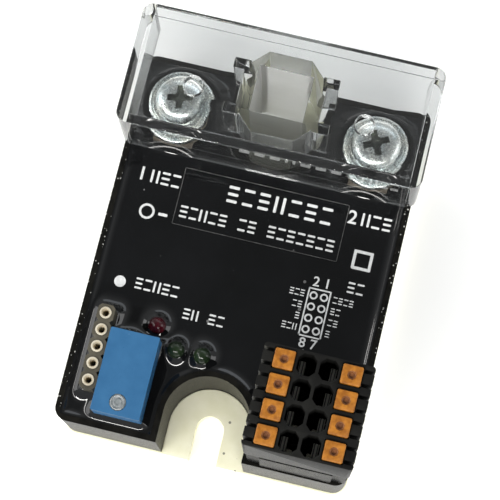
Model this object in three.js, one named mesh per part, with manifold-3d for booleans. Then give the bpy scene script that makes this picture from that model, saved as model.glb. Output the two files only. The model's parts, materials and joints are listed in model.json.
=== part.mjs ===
// Solid state relay for heating control: a low block on a metal plate, with two screw
// terminals under a clear lift-off cover, a pull-off eight-pole control plug with
// push-in clamps, a small signal relay, a socket strip and three indicator lamps.
// Millimetres. X runs across the relay, Y towards the power terminals, Z up.
// The origin is the middle of the plate's underside.
import * as THREE from 'three';
import { mergeVertices } from 'three/addons/utils/BufferGeometryUtils.js';
import Module from 'manifold-3d';

const wasm = await Module();
wasm.setup();

// ---------------------------------------------------------------- driving dimensions
const fitGap = 0.3; // air left round a piece that is set into another
const slideGap = 0.1; // running clearance of a sliding piece
const roundSteps = 28; // sides of a round piece
const recessSteps = 48;
const smallSteps = 24;
const holeSteps = 16;

const plate = { width: 45, length: 58, thickness: 3, corner: 2.5 };
const mounting = { offset: 23.8, width: 4.4 }; // slot at the front, hole at the back
const seat = { rise: 0.2, radius: 3.4, gap: 0.1 }; // raised faces that the two mounting screws bear on
const housing = { inset: 0.25, top: 17.7, wall: 1.1, corner: 2, frontRecess: 6.5, backNotch: 7 };
const resin = { surface: 17.2, joint: 11.7, wallGap: 0.1 };
const board = { bottom: 11.8, thickness: 1.6, margin: 0.7, back: 9 };
const boardTop = board.bottom + board.thickness;

// At rest each terminal stands open: there is room for a lug between its pad and its washer.
const terminal = { x: 15, y: 21.5, padTop: 17.8, padThickness: 1.2, padRadius: 4.6, open: 2.1 };
const insert = { radius: 3, bottom: 9, bore: 2.1 };
const screw = { head: 3.75, headHeight: 2.4, shank: 1.95, tip: 13, crossLength: 4.6, crossWidth: 1, crossDepth: 1.5 };
const washer = { radius: 4.9, bore: 2.2, thickness: 1.2 };

const cover = {
  halfWidth: 22.85, front: 14.4, back: 33, top: 30.3, bottom: 17.8,
  side: 1.6, frontWall: 1.7, roof: 1.8, lip: 1.4, lipBottom: 27.9, corner: 1.6,
};
const well = { outer: 6.2, chamfer: 3, innerX: 4, innerY: 3.5, bottom: 3.6, rib: 1.5 };
const probe = { x: 12.85, y: 22.1, radius: 1.45 };

const poles = { perRow: 4, pitch: 3.5 };
const plug = { x: 14.56, y: -21.4, width: 15.3, depth: 14.2, bottom: 31.2, top: 44.5 };
const plugTongue = { width: 12.4, depth: 11.4, bottom: 20.2, channel: 1.6 };
const entry = { x: 1.52, width: 2.6, depth: 3, chamfer: 0.7, floor: 33.5 };
const button = { x: 4.65, width: 2.8, depth: 2.7, bottom: 38, stand: 0.5, dimple: 0.58, dimpleDepth: 0.9 };
const buttonShaft = 35.8; // floor of the shaft that a button runs in
const clamp = { x: 2.2, width: 0.9, depth: 2, bottom: 33.8, top: 40 };
const comb = { slit: 0.55, depth: 1.45, offset: 0.95, height: 5 };
const header = {
  baseWidth: 12.4, baseDepth: 11.4, step: 18, width: 14.6, depth: 13.6, top: 30.9,
  wall: 0.8, floor: 19.4, ribWidth: 10.6, rib: 0.35, pin: 0.9, pinTop: 29,
};

const signalRelay = { x: -12.75, y: -20.5, width: 7.4, length: 12.5, top: 23.2, ventFront: 1.9, vent: 1.25 };
const sockets = { x: -17.8, firstY: -22.6, pitch: 2.54, count: 5, width: 2.54, bottom: 16.4, top: 22.7 };
const sleeve = { radius: 0.88, bore: 0.46, stand: 0.25 };
const lamp = { radius: 1.5, flange: 1.65, flangeHeight: 1, top: 19.5 };
const lampSides = 20;
const lamps = [
  { name: 'led_fault', x: -10.45, y: -11.85 },
  { name: 'led_input_1', x: -6.85, y: -14.75 },
  { name: 'led_input_2', x: -2.85, y: -14.75 },
];
const label = { x: 0.5, y: 8.4, width: 25.6, depth: 9, thickness: 0.12 };
const substrate = { width: 38, y: -1, depth: 26, thickness: 1 };
const die = { x: 7.5, y: -1.5, size: 9.5, thickness: 0.4 };
const busbar = { thickness: 1, width: 6, footFront: 4, riser: 17.1 };

// ---------------------------------------------------------------- materials
const paint = (color, roughness, metalness) => new THREE.MeshStandardMaterial({ color, roughness, metalness });
const material = {
  plate: paint('#d9d3b8', 0.35, 0.9),
  housing: paint('#1d1d1c', 0.4, 0),
  gel: paint('#2b2d30', 0.5, 0),
  resin: paint('#0e0f10', 0.12, 0),
  ceramic: paint('#e9e6dd', 0.6, 0),
  silicon: paint('#4a4d52', 0.3, 0.2),
  copper: paint('#b5794d', 0.35, 0.95),
  brass: paint('#c1a15a', 0.35, 0.95),
  board: paint('#1f5a35', 0.5, 0),
  chip: paint('#222222', 0.5, 0),
  beige: paint('#c9b58c', 0.6, 0),
  relayBlue: paint('#4278a8', 0.45, 0),
  olive: paint('#6d6a58', 0.55, 0),
  tin: paint('#d8d2bd', 0.3, 0.9),
  redLens: paint('#5a1018', 0.25, 0),
  greenLens: paint('#1d3a1f', 0.25, 0),
  plugBlack: paint('#3b3b39', 0.55, 0),
  orange: paint('#cf8d3c', 0.5, 0),
  zinc: paint('#c9ced0', 0.3, 0.95),
  clear: paint('#dfe4e6', 0.08, 0),
  film: paint('#101112', 0.2, 0),
};

// ---------------------------------------------------------------- shape helpers
function toSolid(geometry) {
  const bare = geometry.index ? geometry.toNonIndexed() : geometry.clone();
  bare.deleteAttribute('normal');
  bare.deleteAttribute('uv');
  const merged = mergeVertices(bare, 1e-5);
  return new wasm.Manifold(new wasm.Mesh({
    numProp: 3,
    vertProperties: new Float32Array(merged.attributes.position.array),
    triVerts: new Uint32Array(merged.index.array),
  }));
}

function toGeometry(solid) {
  const mesh = solid.getMesh();
  const geometry = new THREE.BufferGeometry();
  geometry.setAttribute('position', new THREE.BufferAttribute(mesh.vertProperties, 3));
  geometry.setIndex(new THREE.BufferAttribute(mesh.triVerts, 1));
  geometry.computeVertexNormals();
  return geometry;
}

const join = (first, ...others) => others.reduce((sum, other) => sum.add(other), first);
const cut = (first, ...others) => others.reduce((rest, other) => rest.subtract(other), first);

// A box from its centre in plan, its size in plan and its lower and upper heights.
function block(x, y, width, depth, low, high) {
  const geometry = new THREE.BoxGeometry(width, depth, high - low);
  return toSolid(geometry.translate(x, y, (low + high) / 2));
}

// An upright round piece.
function round(x, y, radius, low, high, steps = roundSteps) {
  const geometry = new THREE.CylinderGeometry(radius, radius, high - low, steps);
  return toSolid(geometry.rotateX(Math.PI / 2).translate(x, y, (low + high) / 2));
}

// A flat outline pulled up from one height to another.
function pull(shape, low, high) {
  const geometry = new THREE.ExtrudeGeometry(shape, { depth: high - low, bevelEnabled: false, curveSegments: 5 });
  return toSolid(geometry.translate(0, 0, low));
}

function roundedOutline(x, y, width, depth, radius) {
  const left = x - width / 2;
  const right = x + width / 2;
  const front = y - depth / 2;
  const back = y + depth / 2;
  const shape = new THREE.Shape();
  shape.moveTo(left + radius, front);
  shape.lineTo(right - radius, front);
  shape.absarc(right - radius, front + radius, radius, -Math.PI / 2, 0);
  shape.lineTo(right, back - radius);
  shape.absarc(right - radius, back - radius, radius, 0, Math.PI / 2);
  shape.lineTo(left + radius, back);
  shape.absarc(left + radius, back - radius, radius, Math.PI / 2, Math.PI);
  shape.lineTo(left, front + radius);
  shape.absarc(left + radius, front + radius, radius, Math.PI, Math.PI * 1.5);
  return shape;
}

// A rectangle whose four corners are cut off straight.
function chamferedOutline(x, y, halfX, halfY, chamfer) {
  const corners = [
    [halfX, halfY - chamfer], [halfX - chamfer, halfY], [chamfer - halfX, halfY], [-halfX, halfY - chamfer],
    [-halfX, chamfer - halfY], [chamfer - halfX, -halfY], [halfX - chamfer, -halfY], [halfX, chamfer - halfY],
  ];
  return new THREE.Shape(corners.map(([dx, dy]) => new THREE.Vector2(x + dx, y + dy)));
}

// The U-shaped room round a mounting screw, open past the front (-1) or back (+1) edge.
function screwRoom(end, radius, low, high) {
  const centre = end * mounting.offset;
  const reach = plate.length / 2 + 2 - mounting.offset;
  return join(
    round(0, centre, radius, low, high, recessSteps),
    block(0, centre + (end * reach) / 2, radius * 2, reach, low, high),
  );
}

// What fills the housing inside its walls, shrunk by a gap.
function cavity(gap, low, high) {
  const shrink = 2 * (housing.inset + housing.wall + gap);
  const corner = housing.corner - housing.wall;
  const filled = pull(roundedOutline(0, 0, plate.width - shrink, plate.length - shrink, corner), low, high);
  return cut(
    filled,
    screwRoom(-1, housing.frontRecess + housing.wall + gap, low - 1, high + 1),
    screwRoom(1, housing.backNotch + housing.wall + gap, low - 1, high + 1),
  );
}

// ---------------------------------------------------------------- scene
const relay = new THREE.Group();

function piece(parent, name, solid, look) {
  const geometry = solid.isBufferGeometry ? solid : toGeometry(solid);
  const mesh = new THREE.Mesh(geometry, look);
  mesh.name = name;
  parent.add(mesh);
  return mesh;
}

function group(parent) {
  const child = new THREE.Group();
  parent.add(child);
  return child;
}

const sides = [{ number: 1, x: -1, crossTurn: 0.17 }, { number: 2, x: 1, crossTurn: 0.43 }];

// ---------------------------------------------------------------- plate and housing
function basePlate() {
  const outline = roundedOutline(0, 0, plate.width, plate.length, plate.corner);
  const slotReach = plate.length / 2 + 2 - mounting.offset;
  const seatTop = plate.thickness + seat.rise;
  const frontSeat = screwRoom(-1, housing.frontRecess - seat.gap, plate.thickness, seatTop)
    .intersect(pull(outline, plate.thickness - 1, seatTop + 1));
  const backSeat = round(0, mounting.offset, seat.radius, plate.thickness, seatTop);
  return cut(
    join(pull(outline, 0, plate.thickness), frontSeat, backSeat),
    round(0, mounting.offset, mounting.width / 2, -1, seatTop + 1),
    round(0, -mounting.offset, mounting.width / 2, -1, seatTop + 1),
    block(0, -mounting.offset - slotReach / 2, mounting.width, slotReach, -1, seatTop + 1),
  );
}

function housingFrame() {
  const width = plate.width - 2 * housing.inset;
  const length = plate.length - 2 * housing.inset;
  const low = plate.thickness;
  return cut(
    pull(roundedOutline(0, 0, width, length, housing.corner), low, housing.top),
    screwRoom(-1, housing.frontRecess, low - 1, housing.top + 1),
    screwRoom(1, housing.backNotch, low - 1, housing.top + 1),
    cavity(0, low - 1, housing.top + 1),
  );
}

// ---------------------------------------------------------------- power stage
const substrateTop = plate.thickness + substrate.thickness;

function busbarSolid(side) {
  const x = side.x * terminal.x;
  const low = substrateTop;
  const profile = new THREE.Shape([
    [busbar.footFront, low],
    [busbar.riser + busbar.thickness, low],
    [busbar.riser + busbar.thickness, terminal.padTop - terminal.padThickness],
    [terminal.y, terminal.padTop - terminal.padThickness],
    [terminal.y, terminal.padTop],
    [busbar.riser, terminal.padTop],
    [busbar.riser, low + busbar.thickness],
    [busbar.footFront, low + busbar.thickness],
  ].map(([y, z]) => new THREE.Vector2(y, z)));
  const strip = new THREE.ExtrudeGeometry(profile, { depth: busbar.width, bevelEnabled: false });
  // The profile's own x and y become the relay's Y and Z.
  strip.applyMatrix4(new THREE.Matrix4().makeBasis(
    new THREE.Vector3(0, 1, 0), new THREE.Vector3(0, 0, 1), new THREE.Vector3(1, 0, 0)));
  strip.translate(x - busbar.width / 2, 0, 0);
  const pad = round(x, terminal.y, terminal.padRadius, terminal.padTop - terminal.padThickness, terminal.padTop);
  const hole = round(x, terminal.y, washer.bore, terminal.padTop - 3, terminal.padTop + 1);
  return cut(join(toSolid(strip), pad), hole);
}

function insertSolid(side, gap = 0) {
  const x = side.x * terminal.x;
  const top = terminal.padTop - terminal.padThickness;
  return round(x, terminal.y, insert.radius + gap, insert.bottom - gap, top + gap);
}

function threadedInsert(side) {
  const x = side.x * terminal.x;
  return cut(insertSolid(side), round(x, terminal.y, insert.bore, insert.bottom + 1.5, terminal.padTop));
}

function busbarRoom(side) {
  const x = side.x * terminal.x;
  const width = busbar.width + 2 * fitGap;
  const footBack = busbar.riser + busbar.thickness + fitGap;
  const footFront = busbar.footFront - fitGap;
  const footTop = substrateTop + busbar.thickness + fitGap;
  const riserDepth = busbar.thickness + 2 * fitGap;
  return join(
    block(x, (footFront + footBack) / 2, width, footBack - footFront, plate.thickness - 1, footTop),
    block(x, footBack - riserDepth / 2, width, riserDepth, plate.thickness - 1, terminal.padTop + 1),
  );
}

// ---------------------------------------------------------------- board and what stands on it
function boardSolid() {
  const gap = board.margin;
  const low = board.bottom;
  return cavity(gap, low, boardTop).subtract(block(0, board.back + 20, 60, 40, low - 1, boardTop + 1));
}

const boardRoom = () => cavity(board.margin - fitGap, resin.joint - 1, boardTop + fitGap)
  .subtract(block(0, board.back + fitGap + 20, 60, 40, resin.joint - 2, boardTop + 2));

const boardParts = [
  { name: 'opto_driver', x: -1, y: -3, width: 7.6, depth: 6.4, height: 3.1, look: material.chip },
  { name: 'controller_chip', x: 9, y: -4.5, width: 5.2, depth: 6.2, height: 1.5, look: material.chip },
  { name: 'current_sensor', x: -14, y: 3, width: 8, depth: 7, height: 3.2, look: material.beige },
  { name: 'snubber_resistor', x: 12.5, y: 4.5, width: 7.5, depth: 3, height: 2.8, look: material.beige },
];
const capacitor = { x: 0.5, y: 4, radius: 2.6, height: 3.2 };

function boardPartSolid(part, gap = 0) {
  return block(part.x, part.y, part.width + 2 * gap, part.depth + 2 * gap, boardTop - gap, boardTop + part.height + gap);
}

function capacitorSolid(gap = 0) {
  const { x, y, radius, height } = capacitor;
  return round(x, y, radius + gap, boardTop - gap, boardTop + height + gap);
}

function signalRelaySolid(gap = 0) {
  const { x, y, width, length, top } = signalRelay;
  return pull(chamferedOutline(x, y, width / 2 + gap, length / 2 + gap, 0.15), boardTop, top + gap);
}

function signalRelayBody() {
  const { x, y, length, top, ventFront, vent } = signalRelay;
  return signalRelaySolid().subtract(round(x, y - length / 2 + ventFront, vent, top - 0.3, top + 1, smallSteps));
}

// One lamp: a flange, a straight barrel and a half-round dome, turned about its axis.
function lampSolid(spot) {
  const shoulder = lamp.top - lamp.radius;
  const step = boardTop + lamp.flangeHeight;
  const profile = [[0, boardTop], [lamp.flange, boardTop], [lamp.flange, step], [lamp.radius, step]]
    .map(([x, y]) => new THREE.Vector2(x, y));
  const domeSteps = 6;
  for (let part = 0; part <= domeSteps; part += 1) {
    const angle = (part / domeSteps) * (Math.PI / 2);
    const radius = part === domeSteps ? 0 : lamp.radius * Math.cos(angle);
    profile.push(new THREE.Vector2(radius, shoulder + lamp.radius * Math.sin(angle)));
  }
  const turned = new THREE.LatheGeometry(profile, lampSides);
  return toSolid(turned.rotateX(Math.PI / 2).translate(spot.x, spot.y, 0));
}

function lampRoom(spot) {
  const step = boardTop + lamp.flangeHeight + fitGap;
  return join(
    round(spot.x, spot.y, lamp.flange + fitGap, boardTop, step, lampSides),
    round(spot.x, spot.y, lamp.radius + fitGap, boardTop, lamp.top, lampSides),
  );
}

// ---------------------------------------------------------------- socket strip
const socketY = (index) => sockets.firstY + index * sockets.pitch;

function stripSolid(gap = 0) {
  let body = null;
  for (let index = 0; index < sockets.count; index += 1) {
    const half = sockets.width / 2 + gap;
    const outline = chamferedOutline(sockets.x, socketY(index), half, half + 0.005, 0.45);
    const segment = pull(outline, sockets.bottom - gap, sockets.top + gap);
    body = body ? body.add(segment) : segment;
  }
  return body;
}

function stripBody() {
  const holes = [];
  for (let index = 0; index < sockets.count; index += 1) {
    holes.push(round(
      sockets.x, socketY(index), sleeve.radius + 0.05, sockets.bottom - 1, sockets.top + 1, smallSteps));
  }
  return cut(stripSolid(), ...holes);
}

function sleeveSolid(index) {
  const y = socketY(index);
  const top = sockets.top + sleeve.stand;
  return cut(
    round(sockets.x, y, sleeve.radius, boardTop, top, smallSteps),
    round(sockets.x, y, sleeve.bore, boardTop + 1, top + 1, holeSteps),
  );
}

// ---------------------------------------------------------------- header and plug
const poleY = (index) => plug.y + ((poles.perRow - 1) / 2 - index) * poles.pitch;

function headerBase(gap = 0) {
  return block(plug.x, plug.y, header.baseWidth + 2 * gap, header.baseDepth + 2 * gap, boardTop, header.step);
}

function headerShroud() {
  const outer = block(plug.x, plug.y, header.width, header.depth, header.step, header.top);
  const rib = block(plug.x, plug.y, header.ribWidth, header.depth + 2 * header.rib, header.step, header.top - 1);
  const room = block(
    plug.x, plug.y, header.width - 2 * header.wall, header.depth - 2 * header.wall, header.floor, header.top + 1);
  const pinHoles = [];
  for (const column of [-1, 1]) {
    for (let index = 0; index < poles.perRow; index += 1) {
      const size = header.pin + 0.2;
      pinHoles.push(block(plug.x + column * entry.x, poleY(index), size, size, boardTop - 1, header.top));
    }
  }
  return cut(join(headerBase(), outer, rib), room, ...pinHoles);
}

function plugBody() {
  const body = pull(roundedOutline(plug.x, plug.y, plug.width, plug.depth, 0.5), plug.bottom, plug.top);
  const tongue = block(plug.x, plug.y, plugTongue.width, plugTongue.depth, plugTongue.bottom, plug.bottom + 0.5);
  const removed = [];
  for (const column of [-1, 1]) {
    for (let index = 0; index < poles.perRow; index += 1) {
      const y = poleY(index);
      const entryX = plug.x + column * entry.x;
      const mouth = chamferedOutline(entryX, y, entry.width / 2, entry.depth / 2, entry.chamfer);
      removed.push(pull(mouth, entry.floor, plug.top + 1));
      removed.push(block(entryX, y, plugTongue.channel, plugTongue.channel, plugTongue.bottom - 1, entry.floor + 1));
      const shaftX = plug.x + column * button.x;
      removed.push(block(
        shaftX, y, button.width + 2 * slideGap, button.depth + 2 * slideGap, buttonShaft, plug.top + 1));
      for (const half of [-1, 1]) {
        const slitX = plug.x + column * (plug.width / 2 - comb.depth / 2 + 0.5);
        const slitY = y + half * comb.offset;
        removed.push(block(slitX, slitY, comb.depth + 1, comb.slit, plug.top - comb.height, plug.top + 1));
      }
    }
  }
  return cut(join(body, tongue), ...removed);
}

function buttonSolid() {
  const top = plug.top + button.stand;
  return cut(
    pull(chamferedOutline(0, 0, button.width / 2, button.depth / 2, 0.15), button.bottom, top),
    round(0, 0, button.dimple, top - button.dimpleDepth, top + 1, holeSteps),
  );
}

// ---------------------------------------------------------------- terminal hardware
function screwSolid() {
  const underHead = terminal.padTop + terminal.open + washer.thickness;
  const crown = underHead + screw.headHeight;
  const edge = screw.head;
  const profile = [
    [0, screw.tip], [screw.shank - 0.5, screw.tip], [screw.shank, screw.tip + 0.6], [screw.shank, underHead],
    [edge, underHead], [edge, crown - 1.1], [edge - 0.35, crown - 0.5], [edge - 1.1, crown - 0.12],
    [edge - 2, crown], [0, crown],
  ].map(([x, y]) => new THREE.Vector2(x, y));
  const turned = toSolid(new THREE.LatheGeometry(profile, roundSteps).rotateX(Math.PI / 2));
  const recess = (width, depth) => block(0, 0, width, depth, crown - screw.crossDepth, crown + 1);
  return cut(turned, recess(screw.crossLength, screw.crossWidth), recess(screw.crossWidth, screw.crossLength));
}

function washerSolid() {
  const low = terminal.padTop + terminal.open;
  const high = low + washer.thickness;
  const profile = [
    [washer.bore, low], [washer.radius, low], [washer.radius, high - 0.4], [washer.radius - 0.4, high],
    [washer.bore, high], [washer.bore, low],
  ].map(([x, y]) => new THREE.Vector2(x, y));
  return new THREE.LatheGeometry(profile, roundSteps).rotateX(Math.PI / 2);
}

// ---------------------------------------------------------------- clear cover
function coverSolid() {
  const length = cover.back - cover.front;
  const middle = (cover.front + cover.back) / 2;
  const shell = pull(
    roundedOutline(0, middle, cover.halfWidth * 2, length, cover.corner), cover.bottom, cover.top);
  const inside = cover.halfWidth - cover.side;
  const roofUnder = cover.top - cover.roof;
  const roomFront = cover.front + cover.frontWall;
  const roomBack = cover.back - cover.lip;
  const room = block(0, (roomFront + roomBack) / 2, inside * 2, roomBack - roomFront, cover.bottom - 1, roofUnder);
  const mouth = block(0, cover.back, inside * 2, cover.lip * 3, cover.bottom - 1, cover.lipBottom);
  const tower = pull(
    chamferedOutline(0, mounting.offset, well.outer, well.outer, well.chamfer), well.bottom, roofUnder + 0.5);
  const ribs = [];
  for (const x of [-1, 1]) {
    for (const y of [-1, 1]) {
      const ribX = x * (well.outer + 0.5);
      const ribY = mounting.offset + y * (well.outer - well.chamfer + 0.3);
      ribs.push(block(ribX, ribY, well.rib + 0.9, well.rib, cover.bottom, roofUnder + 0.5));
    }
  }
  const bore = block(0, mounting.offset, well.innerX * 2, well.innerY * 2, well.bottom - 1, cover.top + 1);
  const probes = sides.map((side) => round(
    side.x * probe.x, probe.y, probe.radius, roofUnder - 1, cover.top + 1, smallSteps));
  return cut(join(cut(shell, room, mouth), tower, ...ribs), bore, ...probes);
}

// ---------------------------------------------------------------- potting
function gelSolid() {
  const rooms = sides.map((side) => join(
    busbarRoom(side),
    round(side.x * terminal.x, terminal.y, insert.radius + fitGap, insert.bottom - fitGap, resin.joint + 1),
  ));
  const dieTop = substrateTop + die.thickness + fitGap;
  const dieSize = die.size + 2 * fitGap;
  const dieRooms = sides.map((side) => block(side.x * die.x, die.y, dieSize, dieSize, plate.thickness - 1, dieTop));
  const substrateRoom = block(
    0, substrate.y, substrate.width + 2 * fitGap, substrate.depth + 2 * fitGap,
    plate.thickness - 1, substrateTop + fitGap);
  return cut(cavity(resin.wallGap, plate.thickness, resin.joint), ...rooms, ...dieRooms, substrateRoom);
}

// A low stepped collar of resin drawn up round whatever stands through its surface.
function collar(x, y, halfX, halfY, rise) {
  const levels = [{ spread: 0.9, high: rise / 2 }, { spread: 0.5, high: rise }];
  return join(...levels.map(({ spread, high }) => {
    const outline = chamferedOutline(x, y, halfX + spread, halfY + spread, spread * 0.8);
    return pull(outline, resin.surface - 0.5, resin.surface + high);
  }));
}

function resinSolid() {
  const low = resin.joint;
  const high = resin.surface;
  const hills = [
    collar(signalRelay.x, signalRelay.y, signalRelay.width / 2, signalRelay.length / 2, 0.9),
    collar(sockets.x, socketY(2), sockets.width / 2, sockets.pitch * 2.5, 0.9),
    ...lamps.map((spot) => collar(spot.x, spot.y, lamp.radius, lamp.radius, 0.7)),
  ];
  const body = join(cavity(resin.wallGap, low, high), ...hills)
    .intersect(cavity(resin.wallGap, low - 1, high + 3));
  const pad = terminal.padRadius + fitGap;
  const rooms = sides.map((side) => join(
    busbarRoom(side),
    round(side.x * terminal.x, terminal.y, pad, terminal.padTop - terminal.padThickness - 1, terminal.padTop),
    insertSolid(side, fitGap),
    round(side.x * terminal.x, terminal.y, insert.radius + fitGap, low - 1, high + 1),
  ));
  const sleeveRooms = [];
  for (let index = 0; index < sockets.count; index += 1) {
    sleeveRooms.push(round(sockets.x, socketY(index), sleeve.radius + fitGap, low, sockets.top, holeSteps));
  }
  return cut(
    body,
    ...rooms,
    boardRoom(),
    ...boardParts.map((part) => boardPartSolid(part, fitGap)),
    capacitorSolid(fitGap),
    signalRelaySolid(fitGap),
    stripSolid(fitGap),
    ...sleeveRooms,
    ...lamps.map(lampRoom),
    headerBase(fitGap).add(block(plug.x, plug.y, header.baseWidth + 0.6, header.baseDepth + 0.6, high - 1, high + 3)),
  );
}

// ---------------------------------------------------------------- assembly
function buildBase() {
  piece(relay, 'base_plate', basePlate(), material.plate);
  piece(relay, 'housing_frame', housingFrame(), material.housing);
  piece(relay, 'potting_gel', gelSolid(), material.gel);
  piece(relay, 'potting_resin', resinSolid(), material.resin);
  const ceramic = block(0, substrate.y, substrate.width, substrate.depth, plate.thickness, substrateTop);
  piece(relay, 'ceramic_substrate', ceramic, material.ceramic);
  for (const side of sides) {
    const chip = block(side.x * die.x, die.y, die.size, die.size, substrateTop, substrateTop + die.thickness);
    piece(relay, `thyristor_die_${side.number}`, chip, material.silicon);
    piece(relay, `busbar_${side.number}`, busbarSolid(side), material.copper);
    piece(relay, `terminal_insert_${side.number}`, threadedInsert(side), material.brass);
  }
}

function buildBoard() {
  piece(relay, 'control_board', boardSolid(), material.board);
  for (const part of boardParts) {
    piece(relay, part.name, boardPartSolid(part), part.look);
  }
  piece(relay, 'filter_capacitor', capacitorSolid(), material.chip);
  piece(relay, 'signal_relay', signalRelayBody(), material.relayBlue);
  piece(relay, 'socket_strip', stripBody(), material.olive);
  for (let index = 0; index < sockets.count; index += 1) {
    piece(relay, `socket_sleeve_${index + 1}`, sleeveSolid(index), material.tin);
  }
  for (const spot of lamps) {
    const look = spot.name === 'led_fault' ? material.redLens : material.greenLens;
    piece(relay, spot.name, lampSolid(spot), look);
  }
  const film = block(label.x, label.y, label.width, label.depth, resin.surface, resin.surface + label.thickness);
  piece(relay, 'label_film', film, material.film);
}

function buildHeaderAndPlug() {
  piece(relay, 'x2_header', headerShroud(), material.plugBlack);
  const plugGroup = group(relay);
  piece(plugGroup, 'plug_housing', plugBody(), material.plugBlack);
  let number = 0;
  for (const column of [-1, 1]) {
    for (let index = 0; index < poles.perRow; index += 1) {
      number += 1;
      const y = poleY(index);
      const pin = block(plug.x + column * entry.x, y, header.pin, header.pin, boardTop, header.pinTop);
      piece(relay, `header_pin_${number}`, pin, material.tin);
      const jaw = block(plug.x + column * clamp.x, y, clamp.width, clamp.depth, clamp.bottom, clamp.top);
      piece(plugGroup, `clamp_contact_${number}`, jaw, material.tin);
      const key = piece(plugGroup, `release_button_${number}`, buttonSolid(), material.orange);
      key.position.set(plug.x + column * button.x, y, 0);
    }
  }
}

function buildTerminals() {
  for (const side of sides) {
    const stack = group(relay);
    stack.position.set(side.x * terminal.x, terminal.y, 0);
    piece(stack, `clamp_washer_${side.number}`, washerSolid(), material.zinc);
    const fastener = piece(stack, `terminal_screw_${side.number}`, screwSolid(), material.zinc);
    fastener.rotation.z = side.crossTurn;
  }
}

buildBase();
buildBoard();
buildHeaderAndPlug();
buildTerminals();
piece(group(relay), 'terminal_cover', coverSolid(), material.clear);

export default relay;
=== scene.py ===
"""Looks of a panel-mount solid state relay: plate, potted block, clear terminal cover and control plug."""
import json
import math

import bmesh
import bpy
from mathutils import Matrix, Vector, noise


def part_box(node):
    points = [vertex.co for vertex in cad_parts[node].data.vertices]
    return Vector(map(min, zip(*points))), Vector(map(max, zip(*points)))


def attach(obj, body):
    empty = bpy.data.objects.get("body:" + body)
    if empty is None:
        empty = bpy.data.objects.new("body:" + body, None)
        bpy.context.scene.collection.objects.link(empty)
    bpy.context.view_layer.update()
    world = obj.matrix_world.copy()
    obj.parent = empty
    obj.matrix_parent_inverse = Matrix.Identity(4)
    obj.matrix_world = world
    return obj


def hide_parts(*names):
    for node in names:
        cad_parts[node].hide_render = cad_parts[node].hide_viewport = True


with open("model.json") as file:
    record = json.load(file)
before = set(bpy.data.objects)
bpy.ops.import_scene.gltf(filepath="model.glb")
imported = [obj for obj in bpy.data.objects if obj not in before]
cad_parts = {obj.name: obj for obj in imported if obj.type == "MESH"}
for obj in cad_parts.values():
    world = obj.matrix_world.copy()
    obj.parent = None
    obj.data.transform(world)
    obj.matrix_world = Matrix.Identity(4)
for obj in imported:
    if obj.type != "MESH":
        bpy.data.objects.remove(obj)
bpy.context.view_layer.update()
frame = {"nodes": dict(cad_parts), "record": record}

MM = 0.001
FULL_TURN = math.tau
BASE = "relay_body"


# ------------------------------------------------------------------ shader node helpers
def new_group(name, inputs, outputs):
    """An empty shader node group. Each socket is (name, kind, default)."""
    group = bpy.data.node_groups.new(name, "ShaderNodeTree")
    for label, kind, default in inputs:
        socket = group.interface.new_socket(label, in_out="INPUT", socket_type=f"NodeSocket{kind}")
        if default is not None:
            socket.default_value = default
    for label, kind in outputs:
        group.interface.new_socket(label, in_out="OUTPUT", socket_type=f"NodeSocket{kind}")
    return group, group.nodes.new("NodeGroupInput"), group.nodes.new("NodeGroupOutput")


def add(tree, kind, values=None, **settings):
    """A node with its settings, and its inputs either set or linked."""
    node = tree.nodes.new(f"ShaderNode{kind}")
    for key, value in settings.items():
        setattr(node, key, value)
    for key, value in (values or {}).items():
        if isinstance(value, bpy.types.NodeSocket):
            tree.links.new(value, node.inputs[key])
        else:
            node.inputs[key].default_value = value
    return node


def math_node(tree, operation, first, second=0.0):
    return add(tree, "Math", {0: first, 1: second}, operation=operation).outputs[0]


def spread(tree, value, low, high, out_low=0.0, out_high=1.0):
    """Maps a value from one range to another, held at both ends."""
    settings = {"From Min": low, "From Max": high, "To Min": out_low, "To Max": out_high}
    return add(tree, "MapRange", {"Value": value, **settings}).outputs["Result"]


def mix_colours(tree, factor, first, second):
    node = add(tree, "Mix", data_type="RGBA")
    for index, value in ((0, factor), (6, first), (7, second)):
        if isinstance(value, bpy.types.NodeSocket):
            tree.links.new(value, node.inputs[index])
        else:
            node.inputs[index].default_value = value
    return node.outputs[2]


# ------------------------------------------------------------------ shared effects
def grain_group():
    """Fine and coarse unevenness of a moulded or plated surface."""
    group, inside, out = new_group(
        "surface_grain",
        [("Vector", "Vector", None), ("Fine", "Float", 4000.0), ("Coarse", "Float", 300.0)],
        [("Height", "Float"), ("Shade", "Float")])
    fine = add(group, "TexNoise", {
        "Vector": inside.outputs["Vector"], "Scale": inside.outputs["Fine"], "Detail": 3.0, "Roughness": 0.6})
    coarse = add(group, "TexNoise", {
        "Vector": inside.outputs["Vector"], "Scale": inside.outputs["Coarse"],
        "Detail": 4.0, "Roughness": 0.55})
    group.links.new(fine.outputs["Fac"], out.inputs["Height"])
    group.links.new(spread(group, coarse.outputs["Fac"], 0.35, 0.65), out.inputs["Shade"])
    return group


def speck_group():
    """Small scattered spots: dust, pits and sparkle. Share is the part of the cells that hold one."""
    group, inside, out = new_group(
        "specks",
        [
            ("Vector", "Vector", None), ("Scale", "Float", 900.0),
            ("Size", "Float", 0.12), ("Share", "Float", 0.2)],
        [("Mask", "Float")])
    cells = add(group, "TexVoronoi", {"Vector": inside.outputs["Vector"], "Scale": inside.outputs["Scale"]})
    parts = add(group, "SeparateColor", {"Color": cells.outputs["Color"]})
    chosen = math_node(group, "LESS_THAN", parts.outputs[0], inside.outputs["Share"])
    share_of_size = spread(group, parts.outputs[1], 0, 1, 0.3, 1.0)
    radius = math_node(group, "MULTIPLY", inside.outputs["Size"], share_of_size)
    near = math_node(group, "LESS_THAN", cells.outputs["Distance"], radius)
    group.links.new(math_node(group, "MULTIPLY", chosen, near), out.inputs["Mask"])
    return group


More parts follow.
